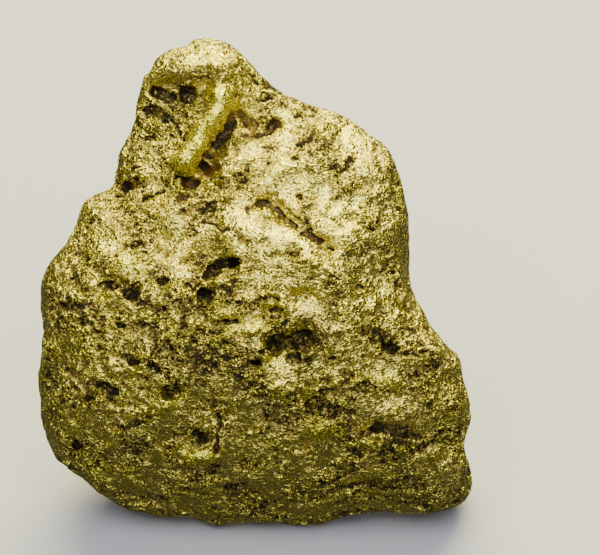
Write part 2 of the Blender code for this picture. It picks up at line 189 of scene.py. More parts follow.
def strayed(places, size, amount, seed):
    """The places moved a little by smooth noise, so that what is laid out on them has uneven edges."""
    moves = [noise_at(places, size, seed + 0.31 * axis) for axis in range(3)]
    return places + amount * np.stack(moves, axis=1)


# Pits of the front, in millimetres on the broad face: across, up, half width, half height, depth, and
# the turn in degrees
HEAD_PITS = (
    (-7.2, 46.1, 1.0, 0.9, 0.8, 0), (-11.0, 44.3, 1.4, 0.8, 0.5, 0), (-8.3, 50.1, 0.3, 0.25, 0.3, 0),
    (-7.6, 49.9, 0.25, 0.25, 0.3, 0), (-4.9, 49.9, 0.3, 0.25, 0.3, 0), (-3.3, 48.1, 0.3, 0.25, 0.3, 0),
    (-3.2, 51.0, 0.35, 0.3, 0.3, 0), (-4.1, 47.2, 0.3, 0.25, 0.3, 0),
)
SHOULDER_PITS = (
    (-15.5, 25.8, 1.2, 0.5, 0.9, 0), (-13.4, 25.0, 1.3, 0.35, 0.5, -25),
    (-12.0, 24.1, 0.6, 0.32, 0.6, -10), (-9.7, 26.3, 0.75, 0.5, 0.6, 10),
    (-14.7, 29.1, 0.25, 0.25, 0.3, 0), (-10.2, 29.3, 0.35, 0.25, 0.3, 0), (-5.2, 24.8, 1.0, 0.85, 1.0, 0),
    (-6.9, 25.8, 0.5, 0.45, 0.5, -20), (-9.8, 23.3, 0.85, 0.4, 0.6, 0), (-20.3, 23.5, 1.2, 0.6, 0.5, -15),
    (4.7, 35.3, 0.32, 0.3, 0.4, 0), (-1.3, 30.6, 0.3, 0.25, 0.3, 0), (4.2, 29.1, 0.5, 0.42, 0.5, 0),
    (2.3, 29.0, 0.5, 0.35, 0.4, 0), (11.2, 25.5, 0.5, 0.42, 0.5, 0), (14.5, 27.0, 0.65, 0.45, 0.4, 0),
    (10.0, 29.0, 0.5, 0.2, 0.3, 0), (-4.8, 34.4, 1.2, 0.45, 0.5, 0), (-4.8, 33.8, 1.1, 0.3, 0.4, 0),
)
MIDDLE_PITS = (
    (-14.1, 21.7, 0.6, 0.28, 0.5, -10), (-16.3, 21.6, 0.4, 0.5, 0.4, 0), (-7.6, 21.4, 0.65, 0.55, 0.6, 0),
    (-6.5, 20.1, 0.35, 0.4, 0.4, 0), (-2.1, 19.2, 0.4, 0.55, 0.5, 0), (-13.8, 18.2, 1.6, 0.45, 0.6, 8),
    (-12.7, 17.6, 0.6, 0.5, 0.8, 0), (-13.6, 16.1, 0.55, 0.45, 0.6, 0), (0.2, 17.4, 0.55, 0.45, 0.5, 0),
    (-6.5, 16.2, 0.6, 0.35, 0.5, 0), (2.3, 23.2, 0.8, 0.4, 0.6, 10), (2.3, 22.4, 0.7, 0.3, 0.5, 0),
    (4.9, 20.1, 1.9, 1.1, 0.7, 20), (2.3, 19.2, 1.5, 0.5, 0.5, 15), (4.2, 18.0, 0.85, 0.5, 0.5, 0),
    (8.0, 18.1, 0.55, 0.3, 0.5, 0), (11.9, 18.2, 0.4, 0.45, 0.5, 0), (8.2, 20.9, 0.3, 0.25, 0.3, 0),
    (14.7, 19.3, 0.85, 0.4, 0.6, 10), (16.1, 18.5, 0.75, 0.4, 0.6, 0), (18.1, 19.0, 0.7, 0.3, 0.6, 30),
    (9.7, 16.5, 0.9, 0.4, 0.5, 0),
)
LOWER_PITS = (
    (-19.1, 14.6, 0.35, 0.65, 0.4, 0), (-11.7, 14.8, 0.7, 0.55, 0.6, 0),
    (-8.9, 14.5, 1.2, 0.65, 0.8, -15), (-15.3, 13.1, 0.55, 0.65, 0.6, 0),
    (-13.1, 13.0, 0.65, 0.4, 0.6, -10), (-11.6, 13.3, 0.4, 0.4, 0.5, 0), (-15.1, 10.7, 0.55, 0.5, 0.6, 0),
    (-19.5, 11.7, 0.5, 0.5, 0.5, 0), (-22.1, 10.8, 0.4, 0.45, 0.5, 0), (-19.4, 8.4, 0.75, 0.7, 0.7, 0),
    (-18.3, 7.8, 0.45, 0.3, 0.4, 0), (-5.6, 9.5, 1.4, 0.75, 0.9, 5), (-6.9, 8.8, 0.5, 0.4, 0.5, 30),
    (-13.2, 5.5, 0.9, 0.38, 0.6, -10), (-2.8, 3.9, 0.8, 0.42, 0.8, -8), (-4.2, 2.5, 0.55, 0.3, 0.5, 0),
    (-12.3, 2.1, 0.5, 0.3, 0.4, 0), (-11.1, 2.0, 0.4, 0.35, 0.4, 0), (-8.9, 1.7, 0.4, 0.3, 0.4, 0),
    (-5.4, 0.9, 0.3, 0.25, 0.3, 0), (3.8, 15.3, 0.5, 0.4, 0.4, 0), (6.1, 15.3, 0.7, 0.35, 0.4, 0),
    (8.4, 14.4, 0.8, 0.65, 0.6, 0), (6.0, 12.9, 0.8, 0.35, 0.5, 0), (1.2, 11.4, 0.45, 0.45, 0.5, 0),
    (10.9, 7.7, 0.65, 0.5, 0.7, 15), (3.5, 6.9, 0.35, 0.25, 0.4, 0), (5.9, 6.2, 0.5, 0.35, 0.4, 0),
    (17.6, 2.4, 0.5, 0.45, 0.8, 0), (14.5, 2.5, 1.1, 0.42, 0.5, 0), (19.4, 2.4, 0.45, 0.3, 0.5, 0),
)

# Rusty notches: across, up, half width, half height, depth, turn in degrees
RUSTY_PITS = (
    (-4.8, 38.2, 1.3, 0.9, 0.7, 40), (-6.8, 36.7, 1.1, 0.7, 0.9, 0), (-7.6, 35.2, 0.8, 0.6, 0.4, 0),
    (-13.9, 36.3, 0.8, 0.5, 0.6, 0), (11.9, 25.5, 0.5, 0.25, 0.3, 0),
)

# Cracks and the shaded side of ledges: half width, depth, rust and the points across and up
CRACKS = (
    (0.45, 1.1, 0.0, ((-11.4, 46.7), (-10.2, 46.2), (-9.1, 45.8), (-8.2, 45.5))),
    (0.3, 0.5, 0.3, ((-9.9, 44.4), (-8.9, 43.4), (-7.6, 41.7))),
    (0.2, 0.4, 0.0, ((0.9, 45.7), (1.6, 45.8), (2.4, 46.2))),
    (0.5, 0.5, 0.6, ((-2.0, 44.6), (-2.6, 43.0), (-3.6, 41.4), (-4.8, 40.0), (-5.6, 39.0), (-6.2, 38.0))),
    (0.5, 0.4, 0.4, ((-1.9, 44.4), (-0.6, 43.2), (0.3, 42.2))),
    (0.4, 0.4, 0.8, ((-2.2, 41.9), (-0.4, 41.6), (0.8, 41.8), (1.9, 42.6), (2.8, 43.4))),
    (0.25, 0.5, 0.0, ((-8.9, 37.3), (-8.0, 37.2), (-7.4, 36.9))),
    (0.22, 0.5, 0.0, ((-12.2, 34.9), (-10.9, 35.5), (-9.5, 36.0))),
    (0.25, 0.4, 0.2, ((-0.6, 38.9), (-1.1, 37.0), (-1.9, 35.9))),
    (0.25, 0.35, 0.3, (
        (-1.1, 34.0), (-0.2, 33.7), (0.7, 34.4), (1.4, 34.5), (2.2, 34.0), (3.3, 32.8), (4.3, 32.2),
        (4.8, 31.7),
    )),
    (0.2, 0.25, 0.0, ((3.1, 33.9), (3.9, 33.4), (4.8, 32.6), (5.5, 32.6), (5.8, 33.2))),
    (0.3, 0.3, 0.9, ((4.9, 31.4), (6.0, 31.1), (7.4, 30.3))),
    (0.15, 0.3, 0.0, ((7.8, 30.0), (8.6, 29.4))),
    (0.2, 0.35, 0.7, ((-5.7, 32.6), (-4.5, 32.2), (-3.5, 31.5), (-2.5, 32.0))),
    (0.5, 1.0, 0.0, ((-5.5, 26.5), (-4.6, 27.4), (-3.5, 28.1), (-1.3, 28.4))),
    (0.3, 0.5, 0.0, ((-3.5, 21.9), (-2.6, 21.8), (-1.6, 22.0))),
    (0.3, 0.5, 0.0, ((0.8, 24.2), (1.8, 24.4), (2.7, 24.2))),
    (0.45, 0.6, 0.0, ((-18.3, 15.7), (-16.8, 15.2), (-15.6, 14.6), (-14.3, 14.3))),
    (0.3, 0.5, 0.0, ((-14.7, 10.5), (-13.4, 10.6), (-12.0, 10.8))),
    (0.3, 0.7, 1.0, ((-4.2, 10.1), (-4.1, 8.8), (-4.2, 7.5))),
    (0.3, 0.5, 0.0, ((-3.9, 12.2), (-3.6, 11.1), (-3.8, 10.1))),
    (0.2, 0.3, 0.0, ((-14.6, 8.3), (-13.7, 9.2))),
    (0.2, 0.3, 0.0, ((9.1, 15.5), (10.2, 14.9), (11.1, 14.2))),
    (0.2, 0.3, 0.0, ((13.9, 14.6), (14.8, 14.2), (15.8, 13.7))),
    (0.55, 0.9, 0.0, ((10.8, 9.4), (11.9, 10.1), (13.4, 10.7), (15.3, 10.4), (16.8, 9.9), (18.1, 9.0))),
    (0.25, 0.5, 0.0, ((2.1, 5.9), (2.8, 5.5), (3.5, 5.2))),
    (0.2, 0.4, 0.0, ((0.3, 6.8), (0.0, 5.8))),
    (0.25, 0.5, 0.0, ((8.4, 3.6), (10.2, 4.0), (11.8, 4.3), (13.2, 4.5))),
)

# The top of the arm that folds round the upper lobe: points across and up
ARM = ((-3.6, 47.6), (-3.6, 45.2), (-4.6, 43.2), (-5.7, 41.4), (-6.8, 39.6), (-8.4, 37.8))

# Worn lips that catch the light: half width, rise and the points across and up
LIPS = (
    (1.05, 0.8, ARM),
    (0.5, 0.3, ((-5.9, 25.6), (-3.5, 26.5), (-1.1, 26.7))),
    (0.3, 0.3, ((-5.9, 23.3), (-4.6, 23.1), (-3.3, 23.2), (-1.8, 22.6))),
    (0.35, 0.4, (
        (-4.4, 21.4), (-3.5, 20.9), (-2.7, 20.8), (-1.6, 21.4), (-0.3, 21.0), (1.0, 21.4), (3.2, 22.1),
    )),
    (0.25, 0.3, ((-8.0, 20.2), (-7.0, 19.5), (-6.4, 19.3), (-5.9, 20.0))),
    (0.25, 0.3, ((-10.6, 18.7), (-12.0, 18.0), (-12.2, 17.1), (-13.2, 16.3))),
    (0.3, 0.25, ((-13.9, 12.0), (-11.8, 12.3), (-9.7, 12.3))),
    (0.25, 0.25, ((-14.3, 6.1), (-12.4, 6.0))),
    (0.25, 0.35, ((0.5, 23.3), (1.2, 23.8), (2.0, 24.0), (2.9, 23.8), (3.4, 23.3))),
    (0.25, 0.4, ((3.0, 18.9), (4.0, 19.1), (4.8, 18.8), (5.7, 18.3), (6.5, 18.1))),
    (0.25, 0.25, ((13.9, 18.6), (15.0, 18.7), (15.8, 19.1))),
    (0.4, 0.35, ((17.6, 18.1), (18.6, 18.2), (19.4, 18.9), (19.5, 19.5))),
    (0.25, 0.25, ((7.5, 15.7), (10.2, 15.8), (12.9, 16.2))),
    (0.3, 0.25, ((7.5, 12.1), (8.6, 12.5), (9.7, 13.1))),
    (0.4, 0.3, ((10.7, 8.9), (13.4, 9.5), (16.1, 9.5), (17.7, 8.6))),
    (0.25, 0.25, ((8.6, 3.2), (11.3, 3.6), (13.4, 4.0))),
)

# Low lumps whose upper side catches the light: across, up, half width, half height, rise
LUMPS = (
    (-6.3, 7.4, 2.4, 1.1, 0.6), (7.2, 10.5, 2.6, 1.4, 0.5), (2.7, 14.9, 1.9, 1.0, 0.5),
    (5.6, 14.6, 1.2, 0.9, 0.4), (14.5, 8.8, 4.4, 0.9, 0.5), (-9.1, 4.1, 1.0, 0.8, 0.35),
    (-9.4, 13.1, 1.8, 0.8, 0.4), (-17.7, 13.0, 1.3, 1.0, 0.35), (-17.7, 18.8, 1.3, 1.2, 0.3),
    (-3.4, 22.6, 2.6, 0.8, 0.35), (-15.5, 9.0, 1.6, 1.0, 0.3), (19.4, 7.6, 1.6, 1.0, 0.3),
    (-13.4, 28.6, 2.4, 1.4, 0.4), (5.0, 27.9, 3.0, 1.2, 0.4), (7.4, 42.6, 2.2, 1.6, 0.4),
    (-5.2, 50.3, 1.6, 1.1, 0.3), (15.5, 22.5, 1.8, 1.2, 0.3), (13.9, 15.8, 2.2, 0.9, 0.3),
)

# Patches that are worn nearly smooth: across, up, half width, half height
SMOOTH_PATCHES = (
    (-9.7, 10.6, 1.7, 2.5), (-5.4, 11.2, 1.2, 1.0), (-11.3, 19.6, 1.2, 1.0), (-0.5, 8.4, 2.8, 2.0),
    (-0.4, 12.2, 1.3, 1.4), (4.6, 23.1, 1.4, 1.2), (-0.9, 25.1, 1.7, 0.9), (8.6, 7.9, 1.7, 1.4),
    (20.9, 5.4, 2.3, 3.8), (-15.3, 16.6, 1.4, 0.8), (-3.8, 15.0, 2.2, 1.7), (-13.4, 23.2, 1.2, 1.2),
    (-20.1, 11.4, 0.9, 2.2), (-13.4, 27.8, 2.2, 1.4), (-9.1, 32.0, 2.2, 1.4), (7.5, 42.4, 1.8, 1.8),
    (11.3, 41.3, 3.3, 2.2), (5.9, 36.3, 2.2, 1.4), (16.3, 31.2, 0.9, 6.0), (-5.6, 50.1, 4.5, 2.4),
    (-1.2, 47.0, 1.6, 2.0), (22.6, 13.0, 0.9, 2.8),
)


class Skin:
    """The nugget's skin as points, what is raised on them, how much dirt and painted shade darken each one,
    and how rusty it is.
    """

    def __init__(self, points, normals):
        self.points = points
        self.places = np.stack(to_face(points), axis=1)
        self.normals = normals
        self.facing = normals @ np.array([0.0, -math.cos(LEAN), math.sin(LEAN)])
        laid = strayed(self.places, 1.6, 0.28, 2.0)
        laid = strayed(laid, 0.6, 0.2, 5.0)
        self.across = laid[:, 0]
        self.up = laid[:, 1]
        self.front = eased((self.facing + 0.05) / 0.35)
        self.broken = 1.2 * noise_at(self.places, 0.5, 11.0)
        self.raised = np.zeros(len(points))
        self.rust = np.zeros(len(points))
        self.dirt = np.zeros(len(points))

    def sink(self, inside, depth, dirt, rust):
        """Lowers the skin where inside is over nought, and lays dirt with painted shade, and rust, there."""
        broken = np.clip(inside + self.front * inside * self.broken, 0.0, 1.0)
        self.raised -= depth * eased(broken * 1.7)
        # Dirt with painted shade: the hollow's colour darkens as if in its shade
        self.dirt = np.maximum(self.dirt, dirt * eased(broken * 1.3))
        self.rust = np.maximum(self.rust, rust * eased(broken * 2.0))

    def near_spot(self, at, size, turn=0.0):
        """How far each point is from a spot, in its half-sizes, and how far above it along its upright."""
        angle = math.radians(turn)
        across = self.across - at[0]
        up = self.up - at[1]
        along = (across * math.cos(angle) + up * math.sin(angle)) / size[0]
        aside = (up * math.cos(angle) - across * math.sin(angle)) / size[1]
        return np.hypot(along, aside), aside

    def near_line(self, line):
        """How far each point is from a line of the front, fading to nought at the line's ends."""
        ends = np.array(line)
        steps = np.diff(ends, axis=0)
        lengths = np.hypot(steps[:, 0], steps[:, 1])
        nearest = np.full(self.across.shape, np.inf)
        place = np.zeros_like(self.across)
        passed = 0.0
        for start, step, length in zip(ends, steps, lengths):
            across = self.across - start[0]
            up = self.up - start[1]
            share = np.clip((across * step[0] + up * step[1]) / length**2, 0.0, 1.0)
            away = np.hypot(across - share * step[0], up - share * step[1])
            closer = away < nearest
            nearest = np.where(closer, away, nearest)
            place = np.where(closer, (passed + share * length) / lengths.sum(), place)
            passed += length
        ends = eased(place / 0.15) * eased((1.0 - place) / 0.15)
        return nearest, self.front * ends

    def pit(self, at, size, depth, turn=0.0, dirt=0.55, rust=0.0):
        """A hollow with a steep wall above, a slope below that faces up, and a worn lip under it."""
        reach, aside = self.near_spot(at, size, turn)
        below = np.clip(-aside, 0.0, None)
        reach = np.sqrt(np.clip(reach**2 - 0.6 * below**2, 0.0, None))
        inside = self.front * np.clip(1.0 - reach**2, 0.0, 1.0)
        deep = 0.25 + 0.75 * eased((aside + 1.0) / 1.3)
        self.sink(inside * deep, depth, dirt * deep, rust)
        lip = np.exp(-(((reach - 1.1) / 0.22) ** 2)) * np.clip(below, 0.0, 1.0)
        self.raised += 0.3 * depth * self.front * lip

    def crack(self, line, half_width, depth, dirt=0.6, rust=0.0):
        """A groove along a line."""
        away, faded = self.near_line(line)
        self.sink(faded * np.clip(1.0 - (away / half_width) ** 2, 0.0, 1.0), depth, dirt, rust)

    def lip(self, line, half_width, rise):
        """A rounded ridge along a line."""
        away, faded = self.near_line(line)
        self.raised += rise * faded * np.exp(-((away / half_width) ** 2))

    def lump(self, at, size, rise):
        """A low mound."""
        reach, _ = self.near_spot(at, size)
        self.raised += rise * self.front * np.clip(1.0 - reach**2, 0.0, 1.0) ** 1.5


def carve_front(skin):
    """The pits, cracks and lips of the broad face, each in its place."""
    for across, up, wide, high, rise in LUMPS:
        skin.lump((across, up), (wide, high), rise)
    for half_width, rise, line in LIPS:
        skin.lip(line, half_width, rise)
    for half_width, depth, rust, line in CRACKS:
        skin.crack(line, half_width, depth, rust=rust)
    for across, up, wide, high, depth, turn in HEAD_PITS + SHOULDER_PITS + MIDDLE_PITS + LOWER_PITS:
        skin.pit((across, up), (wide, high), 0.8 * depth, turn)
    for across, up, wide, high, depth, turn in RUSTY_PITS:
        skin.pit((across, up), (wide, high), depth, turn, dirt=0.3, rust=1.0)


class Grain:
    """Directions along and across the grain: level below, sloping up to the right on the upper lobe."""

    def __init__(self, places, lobe):
        angle = math.radians(32.0)
        along = places[:, 0] * math.cos(angle) + places[:, 1] * math.sin(angle)
        aside = places[:, 1] * math.cos(angle) - places[:, 0] * math.sin(angle)
        self.level = places
        self.sloped = np.stack((along, aside, places[:, 2]), axis=1)
        self.lobe = lobe

    def blended(self, read):
        """What a function reads on the level places and on the sloped ones, each where it belongs."""
        level = read(self.level)
        return level + (read(self.sloped) - level) * self.lobe

    def noise(self, size, seed, octaves=1):
        """Noise that is longer along the grain than across it."""
        return self.blended(lambda places: noise_at(places, size, seed, octaves, (1.2, 0.85, 1.0)))

    def ledges(self, period, seed):
        """Small ledges: the skin rises slowly going up and then falls back at once, from one to nought."""
        stray = 0.8 * self.noise(period * 1.6, seed) + 0.35 * self.noise(period * 0.7, seed + 1.0)
        step = self.blended(lambda places: places[:, 1]) / period + 2.2 * stray
        step -= np.floor(step)
        return step * (1.0 - eased((step - 0.8) / 0.2))


def worn_smooth(skin):
    """How nearly smooth each point is worn, on the smooth patches and on top of the arm."""
    smooth = np.zeros_like(skin.up)
    for middle, height, wide, high in SMOOTH_PATCHES:
        reach, _ = skin.near_spot((middle, height), (wide, high))
        smooth = np.maximum(smooth, skin.front * eased(1.6 * (1.0 - reach)))
    arm, faded = skin.near_line(ARM)
    return np.maximum(smooth, 0.85 * faded * eased(1.5 - arm / 1.1))


def wear_skin(skin):
    """Swells, small ledges, hollows and pits of the skin, from noise of falling sizes."""
    settings = bpy.context.scene.nugget_skin
    places = skin.places
    across, up, _ = places.T
    swell = settings.swell / MM
    lobe = eased((up - 30.0) / 3.0) * eased((across + 2.0) / 3.0)
    low = eased((28.0 - up) / 5.0)
    rough = eased(0.55 + 1.1 * noise_at(places, 4.5, 3.0) + 0.9 * noise_at(places, 2.0, 4.0) + 0.1 * low)
    rough *= 1.0 - 0.75 * worn_smooth(skin)
    grain = Grain(strayed(places, 1.1, 0.3, 8.0), lobe)
    skin.raised += swell * noise_at(places, 1.9, 1.0) + 0.6 * swell * noise_at(places, 0.9, 2.0)
    amount = (0.2 + 0.8 * rough) * (0.6 + 0.4 * low)
    skin.raised += amount * (0.12 * grain.ledges(2.6, 20.0) + 0.12 * grain.ledges(1.2, 24.0))
    hollows = eased((grain.noise(2.6, 9.0, 3) - 0.2) / 0.12) * rough * (0.35 + 0.65 * low)
    pits = eased((grain.noise(1.2, 5.0, 3) - 0.12) / 0.12) * (0.1 + 0.9 * rough)
    skin.raised -= 0.1 + 0.42 * hollows + settings.pit_depth / MM * pits
    # Dirt with painted shade: the hollows and pits get a darker colour
    skin.dirt = np.maximum(skin.dirt, 0.35 * hollows)
    skin.dirt = np.maximum(skin.dirt, 0.45 * pits)
    # The outline stays calmer, and the flat it stands on stays flat
    skin.raised *= 1.0 - 0.6 * np.exp(-((skin.facing / 0.3) ** 2))
    resting = eased((0.4 - skin.points[:, 2] / MM) / 0.3) * eased(-skin.normals[:, 2] / 0.6 - 0.4)
    skin.raised *= 1.0 - resting
    skin.rough = rough


def mesh_points(mesh):
    """The mesh's points as rows of three."""
    flat = np.empty(len(mesh.vertices) * 3)
    mesh.vertices.foreach_get("co", flat)
    return flat.reshape(-1, 3)


def vertex_normals(mesh):
    """The outward direction at each of the mesh's points."""
    flat = np.empty(len(mesh.vertices) * 3)
    mesh.vertex_normals.foreach_get("vector", flat)
    return flat.reshape(-1, 3)


def shelter(piece, rays=14, reach=0.0025):
    """How much of the open side of each point is closed off by the skin itself, from nought to one."""
    mesh = piece.data
    points = mesh_points(mesh)
    normals = vertex_normals(mesh)
    tree = BVHTree.FromObject(piece, bpy.context.evaluated_depsgraph_get())
    aside = np.cross(normals, np.where(np.abs(normals[:, 2:]) < 0.8, [[0.0, 0.0, 1.0]], [[1.0, 0.0, 0.0]]))
    aside /= np.linalg.norm(aside, axis=1, keepdims=True)
    ahead = np.cross(normals, aside)
    starts = (points + normals * 0.00004).tolist()
    closed = np.zeros(len(points))
    for ray in range(rays):
        rise = math.sqrt((ray + 0.5) / rays)
        turn = ray * math.pi * (3.0 - math.sqrt(5.0))
        flat = math.sqrt(1.0 - rise * rise)
        ways = rise * normals + flat * (math.cos(turn) * aside + math.sin(turn) * ahead)
        hits = [tree.ray_cast(start, way, reach)[3] for start, way in zip(starts, ways.tolist())]
        closed += [0.0 if hit is None else 1.0 - 0.6 * hit / reach for hit in hits]
    return closed / rays


def put_attribute(mesh, name, values):
    """Keeps a value from nought to one on each point, for the material to read."""
    mesh.attributes.new(name, "FLOAT", "POINT").data.foreach_set("value", np.clip(values, 0.0, 1.0))


def set_mesh_points(mesh, points):
    """Moves the points, and keeps them within the solid's box."""
    low, high = (np.array(corner) for corner in CAD_BOX)
    mesh.vertices.foreach_set("co", np.clip(points, low, high).ravel())
    mesh.update()


def apply_modifier(piece, kind, **settings):
    """Adds a modifier of the kind with its settings, and applies it."""
    modifier = piece.modifiers.new(kind.title(), kind)
    for name, value in settings.items():
        setattr(modifier, name, value)
    bpy.context.view_layer.objects.active = piece
    bpy.ops.object.modifier_apply(modifier=modifier.name)


def thin_skin(piece, in_front, triangles, triangles_behind):
    """Thins the back first and then the front, so that the front keeps the finer mesh."""
    mesh = piece.data
    corners = np.empty(len(mesh.loops), dtype=int)
    mesh.loops.foreach_get("vertex_index", corners)
    behind = np.count_nonzero(~in_front[corners].reshape(-1, 3).any(axis=1))
    group = piece.vertex_groups.new(name="front")
    group.add(np.flatnonzero(in_front).tolist(), 1.0, "REPLACE")
    left = len(mesh.polygons) - behind + triangles_behind
    share = left / len(mesh.polygons)
    apply_modifier(piece, "DECIMATE", ratio=share, vertex_group="front", invert_vertex_group=True)
    share = triangles / len(mesh.polygons)
    apply_modifier(piece, "DECIMATE", ratio=share, vertex_group="front")
    piece.vertex_groups.clear()


def refined_copy(solid):
    """A copy of the solid with a fine, even mesh and its facets rounded off."""
    settings = bpy.context.scene.nugget_skin
    piece = bpy.data.objects.new("gold_nugget_skin", solid.data.copy())
    bpy.context.scene.collection.objects.link(piece)
    select_only(piece)
    bpy.ops.object.mode_set(mode="EDIT")
    bpy.ops.mesh.select_all(action="SELECT")
    bpy.ops.mesh.remove_doubles(threshold=1e-6)
    bpy.ops.object.mode_set(mode="OBJECT")
    apply_modifier(piece, "REMESH", mode="VOXEL", voxel_size=settings.grid_size)
    apply_modifier(piece, "SMOOTH", factor=0.5, iterations=settings.smoothing)
    return piece


def carve_and_wear(mesh):
    """Shapes the mesh into the worn skin, and keeps on its points what the material reads."""
    points = mesh_points(mesh)
    skin = Skin(points, vertex_normals(mesh))
    carve_front(skin)
    wear_skin(skin)
    set_mesh_points(mesh, points + skin.normals * (skin.raised * MM)[:, None])
    # Dirt with painted shade in the pits, cracks and hollows, which darkens their colour
    put_attribute(mesh, "dirt", skin.dirt)
    put_attribute(mesh, "rust", skin.rust)
    put_attribute(mesh, "worn", 0.5 + skin.raised)
    put_attribute(mesh, "rough", skin.rough)
    return skin


def select_only(piece):
    """Selects this piece alone and makes it the active one."""
    bpy.ops.object.select_all(action="DESELECT")
    piece.select_set(True)
    bpy.context.view_layer.objects.active = piece


class Value:
    """One shader socket, for maths written as plain expressions."""

    def __init__(self, shader, socket):
        self.shader = shader
        self.socket = socket

    def _math(self, operation, *values):
        """A sum of this kind on the values."""
        return self.shader.node("ShaderNodeMath", {"operation": operation}, dict(enumerate(values)))

    def __add__(self, other):
        return self._math("ADD", self, other)

    def __radd__(self, other):
        return self._math("ADD", other, self)

    def __sub__(self, other):
        return self._math("SUBTRACT", self, other)

    def __rsub__(self, other):
        return self._math("SUBTRACT", other, self)

    def __mul__(self, other):
        return self._math("MULTIPLY", self, other)

    def __rmul__(self, other):
        return self._math("MULTIPLY", other, self)

    def clamped(self):
        """Held between nought and one."""
        return self.shader.node("ShaderNodeClamp", {}, {"Value": self})

    def between(self, low, high):
        """Nought below low and one above high, eased in between."""
        settings = {"interpolation_type": "SMOOTHSTEP"}
        return self.shader.node("ShaderNodeMapRange", settings, {0: self, 1: low, 2: high})


class Shader:
    """A material's node tree with one way to add any node."""

    def __init__(self, name):
        self.material = bpy.data.materials.new(name)
        self.material.use_nodes = True
        self.tree = self.material.node_tree
        self.surface = self.tree.nodes["Principled BSDF"]

    def node(self, kind, settings, values, output=0):
        """Adds any node, with its settings and what its inputs read, and gives one of its outputs."""
        node = self.tree.nodes.new(kind)
        for name, value in settings.items():
            setattr(node, name, value)
        for name, value in values.items():
            self.put(node.inputs[name], value)
        return Value(self, node.outputs[output])

    def put(self, socket, value):
        """Links a worked-out value to the socket, or sets a plain one on it."""
        if isinstance(value, Value):
            self.tree.links.new(value.socket, socket)
        else:
            socket.default_value = value

    def attribute(self, name):
        """What the mesh keeps under the name."""
        return self.node("ShaderNodeAttribute", {"attribute_name": name}, {}, output="Fac")

    def place(self):
        """The place on the object."""
        return self.node("ShaderNodeTexCoord", {}, {}, output="Object")

    def noise(self, size, detail=2.0, stretch=(1.0, 1.0, 1.0), roughness=0.5):
        """Noise on Object coordinates with features of about the size, in metres."""
        scale = tuple(1.0 / part for part in stretch)
        laid = self.node("ShaderNodeMapping", {}, {"Vector": self.place(), "Scale": scale})
        values = {"Vector": laid, "Scale": 1.0 / size, "Detail": detail, "Roughness": roughness}
        return self.node("ShaderNodeTexNoise", {}, values)

    def vector(self, operation, *values, output="Vector"):
        """Vector maths of this kind on the values."""
        inputs = dict(enumerate(values))
        return self.node("ShaderNodeVectorMath", {"operation": operation}, inputs, output=output)

    def facets(self, size):
        """The height of flat, uneven facets of about the size, each tilted its own way, in metres."""
        values = {"Vector": self.place(), "Scale": 0.9 / size, "Detail": 0.0}
        swirl = self.node("ShaderNodeTexNoise", {}, values, output="Color")
        stray = (0.8 * size,) * 3
        place = self.vector("MULTIPLY_ADD", swirl, stray, self.place())
        values = {"Vector": place, "Scale": 1.0 / size}
        cell = self.node("ShaderNodeTexVoronoi", {}, values, output="Position")
        tilt = Value(self, cell.socket.node.outputs["Color"])
        along = self.vector("SUBTRACT", self.place(), cell)
        slope = self.vector("SUBTRACT", tilt, (0.5, 0.5, 0.5))
        return self.vector("DOT_PRODUCT", along, slope, output="Value")

    def mixed(self, share, first, second):
        """One colour turning into another as the share goes from nought to one."""
        settings = {"data_type": "RGBA", "clamp_factor": True}
        return self.node("ShaderNodeMix", settings, {0: share, 6: first, 7: second}, output=2)


